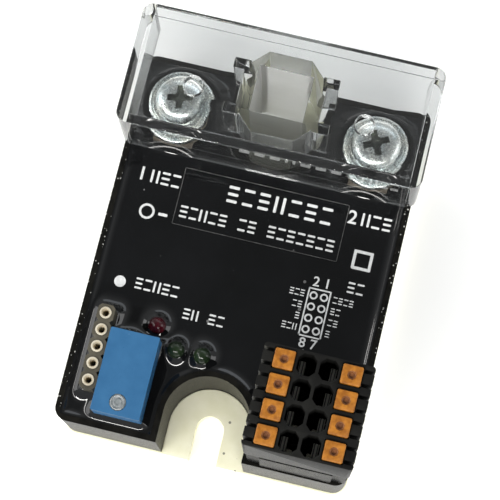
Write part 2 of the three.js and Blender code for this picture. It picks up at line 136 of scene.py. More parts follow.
def scratch_group():
    """Hair-fine rub marks that run along X."""
    group, inside, out = new_group(
        "rub_marks",
        [("Vector", "Vector", None), ("Scale", "Float", 900.0), ("Amount", "Float", 0.5)],
        [("Mask", "Float")])
    stretched = add(group, "Mapping", {"Vector": inside.outputs["Vector"], "Scale": (0.06, 1.0, 1.0)})
    lines = add(group, "TexNoise", {
        "Vector": stretched.outputs[0], "Scale": inside.outputs["Scale"], "Detail": 2.0, "Roughness": 0.5})
    line = spread(group, lines.outputs["Fac"], 0.62, 0.7)
    group.links.new(math_node(group, "MULTIPLY", line, inside.outputs["Amount"]), out.inputs["Mask"])
    return group


GRAIN = grain_group()
SPECKS = speck_group()
SCRATCHES = scratch_group()


class Finish:
    """One material: a Principled shader and the object-space pattern nodes that feed it."""

    def __init__(self, name, roughness=0.5, metallic=0.0, **plain):
        self.material = bpy.data.materials.new(name)
        self.material.use_nodes = True
        self.tree = self.material.node_tree
        self.shader = self.tree.nodes["Principled BSDF"]
        self.shader.inputs["Roughness"].default_value = roughness
        self.shader.inputs["Metallic"].default_value = metallic
        for label, value in plain.items():
            self.shader.inputs[label.replace("_", " ")].default_value = value
        self.where = self.tree.nodes.new("ShaderNodeTexCoord").outputs["Object"]

    def effect(self, group, **values):
        node = self.tree.nodes.new("ShaderNodeGroup")
        node.node_tree = group
        self.tree.links.new(self.where, node.inputs["Vector"])
        for label, value in values.items():
            node.inputs[label].default_value = value
        return node

    def feed(self, socket, value):
        self.tree.links.new(value, self.shader.inputs[socket])

    def bump(self, height, strength, distance):
        node = add(self.tree, "Bump", {"Height": height, "Strength": strength, "Distance": distance})
        self.feed("Normal", node.outputs[0])

    def sum_of(self, *parts):
        """Weighted sum of heights: each part is (socket, weight)."""
        total = None
        for value, weight in parts:
            scaled = math_node(self.tree, "MULTIPLY", value, weight)
            total = scaled if total is None else math_node(self.tree, "ADD", total, scaled)
        return total


def moulded(name, dark, light, roughness, fine=5000.0, coarse=260.0, relief=0.25, dust=0.06, dust_colour=None,
            gloss=0.5):
    """Moulded plastic: two close tones, a fine grain and a few dust specks."""
    finish = Finish(name, roughness, Specular_IOR_Level=gloss)
    grain = finish.effect(GRAIN, Fine=fine, Coarse=coarse)
    specks = finish.effect(SPECKS, Scale=1100.0, Size=0.1, Share=dust)
    tone = mix_colours(finish.tree, grain.outputs["Shade"], (*dark, 1), (*light, 1))
    speck_colour = dust_colour or tuple(min(1, 4 * part + 0.05) for part in light)
    finish.feed("Base Color", mix_colours(finish.tree, specks.outputs["Mask"], tone, (*speck_colour, 1)))
    uneven = spread(finish.tree, grain.outputs["Height"], 0.3, 0.7, roughness - 0.07, roughness + 0.07)
    finish.feed("Roughness", uneven)
    finish.bump(finish.sum_of((grain.outputs["Height"], 1.0), (specks.outputs["Mask"], 0.6)), relief, 0.00003)
    return finish.material


def plated(name, dark, light, roughness, metallic, relief=0.15, pits=0.12, rubbed=0.4):
    """Plated metal: clouded tone, fine rub marks and small pits."""
    finish = Finish(name, roughness, metallic)
    grain = finish.effect(GRAIN, Fine=2600.0, Coarse=420.0)
    marks = finish.effect(SCRATCHES, Scale=1500.0, Amount=rubbed)
    holes = finish.effect(SPECKS, Scale=420.0, Size=0.1, Share=pits)
    tone = mix_colours(finish.tree, grain.outputs["Shade"], (*dark, 1), (*light, 1))
    shade = tuple(part * 0.3 for part in dark)
    finish.feed("Base Color", mix_colours(finish.tree, holes.outputs["Mask"], tone, (*shade, 1)))
    uneven = math_node(finish.tree, "ADD", grain.outputs["Height"], marks.outputs["Mask"])
    finish.feed("Roughness", spread(finish.tree, uneven, 0.3, 1.1, roughness - 0.06, roughness + 0.18))
    relief_sum = finish.sum_of(
        (grain.outputs["Height"], 0.6), (marks.outputs["Mask"], -0.5), (holes.outputs["Mask"], -1.5))
    finish.bump(relief_sum, relief, 0.00003)
    return finish.material


def resin_finish():
    """Black cast resin: mirror gloss with slow waves, dust settled in it and faint smears."""
    finish = Finish("cast_resin", 0.04)
    grain = finish.effect(GRAIN, Fine=700.0, Coarse=90.0)
    dust = finish.effect(SPECKS, Scale=620.0, Size=0.085, Share=0.16)
    fluff = finish.effect(SPECKS, Scale=230.0, Size=0.06, Share=0.3)
    tone = mix_colours(
        finish.tree, grain.outputs["Shade"], (0.0030, 0.0033, 0.0036, 1), (0.0050, 0.0053, 0.0060, 1))
    bits = math_node(finish.tree, "MAXIMUM", dust.outputs["Mask"], fluff.outputs["Mask"])
    finish.feed("Base Color", mix_colours(finish.tree, bits, tone, (0.13, 0.13, 0.13, 1)))
    finish.feed("Roughness", spread(finish.tree, grain.outputs["Shade"], 0.0, 1.0, 0.03, 0.07))
    finish.bump(finish.sum_of((grain.outputs["Height"], 1.0), (bits, 0.7)), 0.03, 0.0001)
    return finish.material


def housing_finish():
    """Black moulded walls with painted sparkle: light spots painted near the top of the side rims stand in
    for glints there.
    """
    finish = Finish("housing_black", 0.3, Specular_IOR_Level=0.018)
    grain = finish.effect(GRAIN, Fine=4200.0, Coarse=500.0)
    # Painted sparkle: scattered spots near the rim top, kept to the outer sides, that are painted light as
    # glints.
    rim_sparkle_spots = finish.effect(SPECKS, Scale=2600.0, Size=0.34, Share=0.42)
    place = add(finish.tree, "SeparateXYZ", {0: finish.where})
    rim_side, _, rim_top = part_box("housing_frame")[1]
    high = spread(finish.tree, place.outputs["Z"], rim_top - 1.3 * MM, rim_top - 0.1 * MM)
    across = math_node(finish.tree, "ABSOLUTE", place.outputs["X"])
    outer = math_node(finish.tree, "GREATER_THAN", across, rim_side - 1.3 * MM)
    sparkle_near_top = math_node(finish.tree, "MULTIPLY", rim_sparkle_spots.outputs["Mask"], high)
    painted_light_mask = math_node(finish.tree, "MULTIPLY", sparkle_near_top, outer)
    tone = mix_colours(
        finish.tree, grain.outputs["Shade"], (0.006, 0.006, 0.0055, 1), (0.012, 0.0115, 0.010, 1))
    # The painted glints: light grey over the black tone wherever the sparkle spots fall.
    finish.feed("Base Color", mix_colours(finish.tree, painted_light_mask, tone, (0.42, 0.42, 0.40, 1)))
    finish.feed("Roughness", spread(finish.tree, grain.outputs["Height"], 0.3, 0.7, 0.22, 0.38))
    finish.bump(finish.sum_of((grain.outputs["Height"], 1.0), (painted_light_mask, 1.5)), 0.2, 0.00004)
    return finish.material


def lens_finish(name, body, glow):
    """Tinted cast lens: deep colour with a lighter heart."""
    finish = Finish(name, 0.07, 0.0, Specular_IOR_Level=0.35)
    grain = finish.effect(GRAIN, Fine=1500.0, Coarse=600.0)
    finish.feed("Base Color", mix_colours(finish.tree, grain.outputs["Shade"], (*body, 1), (*glow, 1)))
    finish.bump(grain.outputs["Height"], 0.08, 0.00005)
    return finish.material


def clear_finish(name, through, roughness, dark, light):
    """Clear moulded plastic with a faint smoke tint, a dusty veil and fine rub marks."""
    finish = Finish(name, roughness, 0.0, Transmission_Weight=through, IOR=1.49)
    grain = finish.effect(GRAIN, Fine=260.0, Coarse=120.0)
    marks = finish.effect(SCRATCHES, Scale=1400.0, Amount=0.5)
    dust = finish.effect(SPECKS, Scale=500.0, Size=0.06, Share=0.12)
    tone = mix_colours(finish.tree, grain.outputs["Shade"], (*dark, 1), (*light, 1))
    finish.feed("Base Color", mix_colours(finish.tree, dust.outputs["Mask"], tone, (0.5, 0.5, 0.5, 1)))
    finish.bump(finish.sum_of((grain.outputs["Height"], 0.6), (marks.outputs["Mask"], -0.2)), 0.05, 0.00006)
    rubbed = spread(finish.tree, marks.outputs["Mask"], 0.0, 1.0, roughness, roughness + 0.12)
    finish.feed("Roughness", rubbed)
    # Light on its way to what stands under the plastic goes nearly straight through.
    in_shadow = add(finish.tree, "LightPath").outputs["Is Shadow Ray"]
    finish.feed("Alpha", spread(finish.tree, in_shadow, 0.0, 1.0, 1.0, 0.35))
    return finish.material


def leaf_finish():
    """Sprung contact leaf: bright tin bars with painted shade between them, dark stripes that run down it
    where the gaps between the bars lie in shadow.
    """
    finish = Finish("leaf_tin", 0.32, 0.05)
    grain = finish.effect(GRAIN, Fine=2600.0, Coarse=420.0)
    across = add(finish.tree, "SeparateXYZ", {0: finish.where}).outputs["X"]
    stripe_wave = math_node(finish.tree, "SINE", math_node(finish.tree, "MULTIPLY", across, FULL_TURN / (0.45 * MM)))
    painted_light_mask = spread(finish.tree, stripe_wave, -0.85, -0.3)
    tone = mix_colours(finish.tree, grain.outputs["Shade"], (0.80, 0.78, 0.68, 1), (0.98, 0.96, 0.86, 1))
    # Painted shade: the near-black stripes stand in for the shadowed gaps between the bars.
    finish.feed("Base Color", mix_colours(finish.tree, painted_light_mask, (0.03, 0.03, 0.028, 1), tone))
    finish.bump(finish.sum_of((painted_light_mask, 1.0), (grain.outputs["Height"], 0.2)), 0.4, 0.00008)
    return finish.material


def ink_finish():
    """White printing ink, slightly thin and speckled."""
    finish = Finish("white_ink", 0.5)
    grain = finish.effect(GRAIN, Fine=6000.0, Coarse=2400.0)
    thin = finish.effect(SPECKS, Scale=3600.0, Size=0.2, Share=0.12)
    tone = mix_colours(finish.tree, grain.outputs["Shade"], (0.55, 0.56, 0.56, 1), (0.68, 0.69, 0.69, 1))
    finish.feed("Base Color", mix_colours(finish.tree, thin.outputs["Mask"], tone, (0.28, 0.28, 0.29, 1)))
    finish.bump(grain.outputs["Height"], 0.1, 0.00001)
    return finish.material


FINISHES = {
    "plate": plated(
        "plate_nickel", (0.92, 0.90, 0.66), (0.98, 0.96, 0.74), 0.45, 0.04, pits=0.3, rubbed=0.15),
    "housing": housing_finish(),
    "resin": resin_finish(),
    "gel": moulded("soft_gel", (0.02, 0.02, 0.022), (0.035, 0.035, 0.04), 0.45),
    "ceramic": moulded(
        "white_ceramic", (0.70, 0.68, 0.62), (0.80, 0.78, 0.72), 0.55, dust_colour=(0.4, 0.38, 0.33)),
    "silicon": plated("silicon_die", (0.10, 0.11, 0.13), (0.16, 0.17, 0.20), 0.25, 0.4, pits=0.02),
    "copper": plated("tinned_copper", (0.60, 0.52, 0.42), (0.72, 0.64, 0.54), 0.36, 0.9),
    "brass": plated("turned_brass", (0.66, 0.48, 0.20), (0.76, 0.58, 0.28), 0.32, 0.95),
    "board": moulded("board_green", (0.010, 0.10, 0.035), (0.018, 0.15, 0.055), 0.35),
    "chip": moulded("chip_black", (0.014, 0.014, 0.014), (0.025, 0.025, 0.025), 0.5),
    "beige": moulded(
        "dipped_beige", (0.48, 0.38, 0.22), (0.58, 0.48, 0.30), 0.5, dust_colour=(0.2, 0.15, 0.08)),
    "relay_blue": moulded(
        "relay_blue", (0.022, 0.105, 0.235), (0.032, 0.130, 0.275), 0.34,
        dust=0.03, dust_colour=(0.09, 0.2, 0.36)),
    "vent_grey": moulded("vent_grey", (0.10, 0.12, 0.13), (0.22, 0.24, 0.25), 0.3, coarse=1500.0, relief=0.8),
    "olive": moulded("strip_olive", (0.048, 0.043, 0.030), (0.078, 0.070, 0.050), 0.45, relief=0.35),
    "tin": plated("tin_plate", (0.70, 0.66, 0.52), (0.88, 0.84, 0.70), 0.28, 0.85, pits=0.05),
    "sleeve_tin": plated("sleeve_tin", (0.62, 0.55, 0.42), (0.80, 0.74, 0.60), 0.35, 0.4, pits=0.05),
    "red_lens": lens_finish("lens_red", (0.035, 0.003, 0.006), (0.075, 0.006, 0.012)),
    "green_lens": lens_finish("lens_green", (0.008, 0.015, 0.007), (0.020, 0.034, 0.016)),
    "film": resin_finish(),
    # Painted highlight: a lighter grey for the rim of the label film, standing in for the light line along
    # its edge.
    "film_edge_painted_highlight": moulded("film_edge_painted_highlight", (0.03, 0.03, 0.03), (0.07, 0.07, 0.07), 0.4, coarse=900.0, dust=0.0),
    "plug_black": moulded(
        "plug_grey", (0.008, 0.008, 0.008), (0.014, 0.014, 0.013), 0.42, dust=0.05, gloss=0.04),
    "header_black": moulded(
        "header_black", (0.005, 0.005, 0.005), (0.009, 0.009, 0.009), 0.25, dust=0.08, gloss=0.003),
    "orange": moulded(
        "button_orange", (0.24, 0.080, 0.007), (0.41, 0.155, 0.017), 0.45, coarse=1300.0,
        dust=0.25, dust_colour=(0.16, 0.055, 0.008), gloss=0.3),
    "eye_brown": moulded(
        "button_eye", (0.13, 0.040, 0.008), (0.22, 0.075, 0.014), 0.5,
        coarse=1600.0, dust_colour=(0.1, 0.04, 0.01)),
    "zinc": plated(
        "zinc_plate", (0.80, 0.87, 0.88), (0.97, 0.97, 0.92), 0.27, 1.0, relief=0.03, pits=0.01, rubbed=0.1),
    # Painted shade: dark zinc for the walls of the cross recess in the screw heads, darkened as shade in the
    # hollow and partly as dirt.
    "zinc_recess_painted_shade": plated(
        "zinc_recess_painted_shade", (0.07, 0.08, 0.07), (0.30, 0.32, 0.28), 0.35, 0.9, relief=0.3, pits=0.1),
    "clear": clear_finish("cover_clear", 0.992, 0.02, (0.71, 0.73, 0.73), (0.74, 0.75, 0.75)),
    "frosted": clear_finish("well_frosted", 0.75, 0.3, (0.60, 0.60, 0.57), (0.68, 0.68, 0.66)),
    "leaf_tin": leaf_finish(),
    "ink": ink_finish(),
}


def piece(name, shape, finish, body, *stands_for, smooth=35):
    """Makes an object of a bmesh, gives it a finish, and lets it ride on a body."""
    mesh = bpy.data.meshes.new(name)
    shape.to_mesh(mesh)
    shape.free()
    mesh.materials.append(FINISHES[finish])
    mesh.shade_smooth()
    mesh.set_sharp_from_angle(angle=math.radians(smooth))
    thing = bpy.data.objects.new(name, mesh)
    bpy.context.scene.collection.objects.link(thing)
    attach(thing, body)
    if stands_for:
        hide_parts(*stands_for)
    return thing


def clean_copy(node, joined=True):
    """A CAD node's shape with shared corners and, if joined, its flat faces made whole."""
    shape = bmesh.new()
    shape.from_mesh(frame["nodes"][node].data)
    bmesh.ops.remove_doubles(shape, verts=shape.verts, dist=0.002 * MM)
    if joined:
        bmesh.ops.dissolve_limit(
            shape, angle_limit=math.radians(0.5), verts=shape.verts, edges=shape.edges, delimit={"NORMAL"})
    return shape


def soften(thing, width, segments=2, angle=40):
    """Rounds every edge of a piece that is sharper than the angle."""
    bevel = thing.modifiers.new("edge_round", "BEVEL")
    bevel.width = width
    bevel.segments = segments
    bevel.limit_method = "ANGLE"
    bevel.angle_limit = math.radians(angle)
    bevel.miter_outer = "MITER_ARC"
    bevel.harden_normals = True
    return thing


def softened(node, finish, body, width, segments=2, joined=True):
    """A CAD node's own shape with its moulded edges rounded."""
    thing = piece(f"{node}_moulding", clean_copy(node, joined), finish, body, node)
    return soften(thing, width, segments)


def turned(profile, x=0.0, y=0.0, steps=64):
    """A closed round solid from (radius, height) points, turned about an upright axis at x, y."""
    shape = bmesh.new()
    points = [shape.verts.new((radius, 0, height)) for radius, height in profile]
    edges = [shape.edges.new(pair) for pair in zip(points, points[1:])]
    if profile[0][0] > 0:
        edges.append(shape.edges.new((points[-1], points[0])))
    bmesh.ops.spin(
        shape, geom=points + edges, axis=(0, 0, 1), cent=(0, 0, 0), angle=FULL_TURN, steps=steps,
        use_merge=True)
    bmesh.ops.remove_doubles(shape, verts=shape.verts, dist=0.001 * MM)
    bmesh.ops.translate(shape, verts=shape.verts, vec=(x, y, 0))
    bmesh.ops.recalc_face_normals(shape, faces=shape.faces)
    return shape


def middle(node):
    low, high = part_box(node)
    return (low + high) / 2


def slab(shape, centre, size, turn=0.0):
    """Adds a flat-sided block to a bmesh and returns its corners."""
    made = bmesh.ops.create_cube(shape, size=1.0)["verts"]
    place = Matrix.Translation(centre) @ Matrix.Rotation(turn, 4, "Z") @ Matrix.Diagonal((*size, 1))
    bmesh.ops.transform(shape, matrix=place, verts=made)
    return made


def paint_nodes(finish, *names):
    """Gives CAD nodes that stay as they are their finish."""
    for name in names:
        node = frame["nodes"][name]
        node.data.materials.clear()
        node.data.materials.append(FINISHES[finish])


def numbered(stem, count):
    return [f"{stem}_{number}" for number in range(1, count + 1)]


# ------------------------------------------------------------------ plate, walls and hidden parts
def plate_and_walls():
    softened("base_plate", "plate", BASE, 0.2 * MM, 3)
    softened("housing_frame", "housing", BASE, 0.18 * MM, 3)


def hidden_parts():
    paint_nodes("gel", "potting_gel")
    paint_nodes("ceramic", "ceramic_substrate")
    paint_nodes("silicon", *numbered("thyristor_die", 2))
    paint_nodes("brass", *numbered("terminal_insert", 2))
    paint_nodes("board", "control_board")
    paint_nodes("chip", "opto_driver", "controller_chip", "filter_capacitor")
    paint_nodes("beige", "current_sensor", "snubber_resistor")
    paint_nodes("tin", *numbered("header_pin", 8))
    for number in (1, 2):
        softened(f"busbar_{number}", "copper", BASE, 0.1 * MM)


# ------------------------------------------------------------------ resin surface
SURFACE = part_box("label_film")[0].z
WALL_THICKNESS = 1.1 * MM
SCREW_FROM_END = 5.2 * MM
FRONT_ROOM_RADIUS = 6.5 * MM + WALL_THICKNESS
BACK_ROOM_RADIUS = 7.0 * MM + WALL_THICKNESS
POST_HOLE_RADIUS = 2.6 * MM
PAD_RADIUS = 5.4 * MM


def box_distance(x, y, low, high, corner=0.0):
    """Distance in plan from a point to a rectangle; negative inside it."""
    dx = abs(x - (low.x + high.x) / 2) - (high.x - low.x) / 2 + corner
    dy = abs(y - (low.y + high.y) / 2) - (high.y - low.y) / 2 + corner
    outside = math.hypot(max(dx, 0), max(dy, 0))
    return outside + min(max(dx, dy), 0) - corner


def screw_room_distance(x, y, end, radius, centre):
    """Distance in plan from a point to the U-shaped room at the front (-1) or back (+1)."""
    if (y - centre) * end > 0:
        return abs(x) - radius
    return math.hypot(x, y - centre) - radius


def resin_surface():
    """The cast resin: level in the middle, drawn up at the walls and round all that stands in it."""
    low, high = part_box("potting_resin")
    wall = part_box("housing_frame")
    plate_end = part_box("base_plate")[1].y
    front_room = SCREW_FROM_END - plate_end
    back_room = plate_end - SCREW_FROM_END
    standing = [(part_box(name), 0.3 * MM) for name in ("signal_relay", "socket_strip")]
    lamps = [(middle(name), 1.3 * MM) for name in ("led_fault", "led_input_1", "led_input_2")]
    posts = [(middle(f"terminal_insert_{number}"), 6.0 * MM) for number in (1, 2)]
    header_low, header_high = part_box("x2_header")
    foot = 1.1 * MM
    header_foot = (header_low + Vector((foot, foot, 0)), header_high - Vector((foot, foot, 0)))

    def climb(distance, rise, reach):
        return rise * math.exp(-max(distance, 0) / reach)

    def height(x, y):
        inner = -box_distance(x, y, wall[0], wall[1]) - WALL_THICKNESS
        front = screw_room_distance(x, y, -1, FRONT_ROOM_RADIUS, front_room)
        back = screw_room_distance(x, y, 1, BACK_ROOM_RADIUS, back_room)
        rises = [
            climb(inner, 0.6 * MM, 0.85 * MM),
            climb(front, 0.5 * MM, 0.7 * MM),
            climb(back, 0.5 * MM, 0.7 * MM)]
        for (near, far), corner in standing:
            rises.append(climb(box_distance(x, y, near, far, corner), 1.5 * MM, 1.1 * MM))
        rises.append(climb(box_distance(x, y, *header_foot), 1.0 * MM, 0.8 * MM))
        for spot, radius in lamps:
            rises.append(climb(math.hypot(x - spot.x, y - spot.y) - radius, 1.15 * MM, 0.95 * MM))
        for spot, radius in posts:
            rises.append(climb(math.hypot(x - spot.x, y - spot.y) - radius, 1.5 * MM, 1.2 * MM))
        # Rises that meet blend smoothly instead of crossing in a crease.
        total = sum(rise ** 3 for rise in rises) ** (1 / 3)
        ripple = noise.noise(Vector((x, y, 0)) * 160) * 0.02 * MM
        return SURFACE + total + ripple

    def from_post(x, y):
        return min(math.hypot(x - spot.x, y - spot.y) for spot, _ in posts)

    def inside(x, y):
        margin = 0.25 * MM
        return (
            from_post(x, y) > POST_HOLE_RADIUS
            and box_distance(x, y, wall[0], wall[1]) < margin - WALL_THICKNESS
            and screw_room_distance(x, y, -1, FRONT_ROOM_RADIUS, front_room) > -margin
            and screw_room_distance(x, y, 1, BACK_ROOM_RADIUS, back_room) > -margin)

    cell = 0.24 * MM
    shape = bmesh.new()
    across = round((high.x - low.x + 2 * MM) / cell)
    along = round((high.y - low.y + 2 * MM) / cell)
    bmesh.ops.create_grid(shape, x_segments=across, y_segments=along, size=0.5)
    bmesh.ops.scale(shape, vec=(across * cell, along * cell, 1), verts=shape.verts)
    outside = [face for face in shape.faces if not inside(*face.calc_center_median().xy)]
    bmesh.ops.delete(shape, geom=outside, context="FACES")
    under_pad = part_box("busbar_1")[1].z - 0.15 * MM
    for vert in shape.verts:
        x, y = vert.co.xy
        vert.co.z = height(x, y)
        if from_post(x, y) < PAD_RADIUS:
            vert.co.z = min(vert.co.z, under_pad)
    pulled = bmesh.ops.extrude_face_region(shape, geom=shape.faces[:])["geom"]
    for vert in (part for part in pulled if isinstance(part, bmesh.types.BMVert)):
        vert.co.z = low.z
    bmesh.ops.recalc_face_normals(shape, faces=shape.faces)
    piece("resin_casting", shape, "resin", BASE, "potting_resin", smooth=60)
    return height


# ------------------------------------------------------------------ parts standing in the resin
def signal_relay():
    softened("signal_relay", "relay_blue", BASE, 0.22 * MM, 3)
    low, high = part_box("signal_relay")
    x = (low.x + high.x) / 2
    y = low.y + 1.9 * MM
    top = high.z
    vent = turned([
        (0, top - 0.3 * MM), (1.2 * MM, top - 0.3 * MM), (1.2 * MM, top - 0.02 * MM),
        (1.0 * MM, top + 0.06 * MM), (0.75 * MM, top - 0.05 * MM), (0.5 * MM, top + 0.02 * MM),
        (0, top - 0.12 * MM)], x, y, 12)
    piece("relay_vent_seal", vent, "vent_grey", BASE, smooth=15)


def socket_strip():
    softened("socket_strip", "olive", BASE, 0.1 * MM)
    for name in numbered("socket_sleeve", 5):
        low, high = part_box(name)
        centre = (low + high) / 2
        outer = (high.x - low.x) / 2
        bore = 0.46 * MM
        top = high.z
        ring = turned([
            (bore, low.z + 1 * MM), (bore, top - 0.45 * MM), (bore + 0.12 * MM, top - 0.1 * MM),
            (bore + 0.16 * MM, top), (outer - 0.06 * MM, top), (outer, top - 0.06 * MM), (outer, low.z),
            (0.3 * MM, low.z), (0.3 * MM, low.z + 1 * MM)], centre.x, centre.y, 32)
        piece(f"{name}_turned", ring, "sleeve_tin", BASE, name)


def lamps():
    for name, finish in (
            ("led_fault", "red_lens"), ("led_input_1", "green_lens"), ("led_input_2", "green_lens")):
        low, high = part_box(name)
        centre = (low + high) / 2
        flange = (high.x - low.x) / 2
        radius = 1.3 * MM
        shoulder = high.z - radius
        profile = [(0, low.z), (flange, low.z), (flange, low.z + 1 * MM), (radius, low.z + 1 * MM)]
        arc_steps = 12
        for step in range(arc_steps + 1):
            angle = math.pi / 2 * step / arc_steps
            profile.append((max(0.0, radius * math.cos(angle)) if step < arc_steps else 0.0,
                            shoulder + radius * math.sin(angle)))
        piece(f"{name}_lens", turned(profile, centre.x, centre.y, 40), finish, BASE, name)


# ------------------------------------------------------------------ header and plug
def header_and_plug():
    softened("x2_header", "header_black", BASE, 0.12 * MM)
    softened("plug_housing", "plug_black", "plug", 0.1 * MM, joined=False)
    for number in range(1, 9):
        body = f"button_{number}"
        softened(f"release_button_{number}", "orange", body, 0.12 * MM, 3, joined=False)
        centre = middle(f"release_button_{number}")
        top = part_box(f"release_button_{number}")[1].z
        eye = turned([
            (0, top - 0.7 * MM), (0.56 * MM, top - 0.7 * MM), (0.56 * MM, top - 0.03 * MM),
            (0.44 * MM, top - 0.12 * MM), (0.36 * MM, top - 0.5 * MM), (0, top - 0.55 * MM)],
            centre.x, centre.y, 28)
        piece(f"button_eye_{number}", eye, "eye_brown", body)
        softened(f"clamp_contact_{number}", "leaf_tin", "plug", 0.08 * MM)


# ------------------------------------------------------------------ terminal hardware
def cross_recess(centre, top, turn):
    """The tapered cutters of a cross-recess screw head: two arms, then the wider heart."""
    cutters = []
    for width, breadth, deep, angle, narrow in (
            (4.9, 1.25, 1.30, 0, 0.62),
            (4.9, 1.25, 1.27, math.pi / 2, 0.62),
            (2.1, 2.1, 1.35, math.pi / 4, 0.7)):
        shape = bmesh.new()
        for vert in slab(shape, (0, 0, 0), (width * MM, breadth * MM, 2 * deep * MM)):
            if vert.co.z < 0:
                vert.co.x *= narrow
                vert.co.y *= narrow
        matrix = Matrix.Translation((centre.x, centre.y, top)) @ Matrix.Rotation(turn + angle, 4, "Z")
        bmesh.ops.transform(shape, verts=shape.verts, matrix=matrix)
        bmesh.ops.recalc_face_normals(shape, faces=shape.faces)
        cutters.append(shape)
    return cutters


def subtract(thing, cutters, shade_lining):
    """Cuts shapes out of a piece for good; the cut walls take a finish of their own, a dark one painted as
    shade in the hollow.
    """
    thing.data.materials.append(FINISHES[shade_lining])
    for cutter in cutters:
        mesh = bpy.data.meshes.new("cutter")
        cutter.to_mesh(mesh)
        cutter.free()
        for finish in thing.data.materials:
            mesh.materials.append(finish)
        for face in mesh.polygons:
            face.material_index = 1
        tool = bpy.data.objects.new("cutter", mesh)
        bpy.context.scene.collection.objects.link(tool)
        cut = thing.modifiers.new("cut", "BOOLEAN")
        cut.operation = "DIFFERENCE"
        cut.solver = "EXACT"
        cut.object = tool
        bpy.context.view_layer.update()
        result = bpy.data.meshes.new_from_object(thing.evaluated_get(bpy.context.evaluated_depsgraph_get()))
        thing.modifiers.remove(cut)
        thing.data = result
        bpy.data.objects.remove(tool)
    thing.data.shade_smooth()
    thing.data.set_sharp_from_angle(angle=math.radians(35))


def terminal_hardware():
    for number, turn in ((1, 0.18), (2, 0.44)):
        low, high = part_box(f"terminal_screw_{number}")
        centre = (low + high) / 2
        washer_low, washer_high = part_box(f"clamp_washer_{number}")
        seat = washer_high.z
        head = (high.x - low.x) / 2
        top = high.z
        profile = [
            (0, low.z), (1.4 * MM, low.z), (1.95 * MM, low.z + 0.6 * MM), (1.95 * MM, seat),
            (head - 0.15 * MM, seat), (head, seat + 0.15 * MM), (head, top - 1.35 * MM),
            (head - 0.1 * MM, top - 1.0 * MM), (head - 0.35 * MM, top - 0.66 * MM),
            (head - 0.75 * MM, top - 0.42 * MM), (head - 1.3 * MM, top - 0.22 * MM),
            (head - 2.0 * MM, top - 0.08 * MM), (head - 2.8 * MM, top), (0, top)]
        fastener = piece(
            f"screw_{number}_pan_head", turned(profile, centre.x, centre.y, 72), "zinc", f"screw_{number}",
            f"terminal_screw_{number}")
        # The walls of the cross recess get the dark zinc: painted shade.
        subtract(fastener, cross_recess(centre, top, turn), "zinc_recess_painted_shade")
        soften(fastener, 0.12 * MM, 2, 50)
        outer = (washer_high.x - washer_low.x) / 2
        underside = washer_low.z + 0.03 * MM
        ring = [
            (2.2 * MM, underside), (outer - 0.1 * MM, underside), (outer, underside + 0.12 * MM),
            (outer, seat - 0.55 * MM), (outer - 0.12 * MM, seat - 0.3 * MM),
            (outer - 0.32 * MM, seat - 0.2 * MM),
            (outer - 0.5 * MM, seat - 0.3 * MM), (outer - 0.62 * MM, seat - 0.3 * MM),
            (outer - 0.8 * MM, seat - 0.06 * MM), (head, seat), (2.2 * MM, seat)]
        piece(
            f"washer_{number}_pressed", turned(ring, centre.x, centre.y, 72), "zinc", f"washer_{number}",
            f"clamp_washer_{number}")


# ------------------------------------------------------------------ clear cover and label
def opening(name):
    """The two corners of one of the record's stated openings, in metres."""
    for entry in frame["record"]["physics"]["openings"]:
        if entry["name"] == name:
            return [Vector(corner) for corner in entry["box_m"]]
    raise KeyError(name)


def clear_cover():
    """The cover, with the walls of its well left frosted from the mould."""
    thing = softened("terminal_cover", "clear", "cover", 0.3 * MM, 3)
    thing.data.materials.append(FINISHES["frosted"])
    low, high = opening("cover_well")
    wall = 0.5 * MM
    for face in thing.data.polygons:
        at = face.center
        in_well = low.x - wall < at.x < high.x + wall and low.y - wall < at.y < high.y + wall
        if in_well and abs(face.normal.z) < 0.5:
            face.material_index = 1


def label_film():
    softened("label_film", "film", BASE, 0.04 * MM)


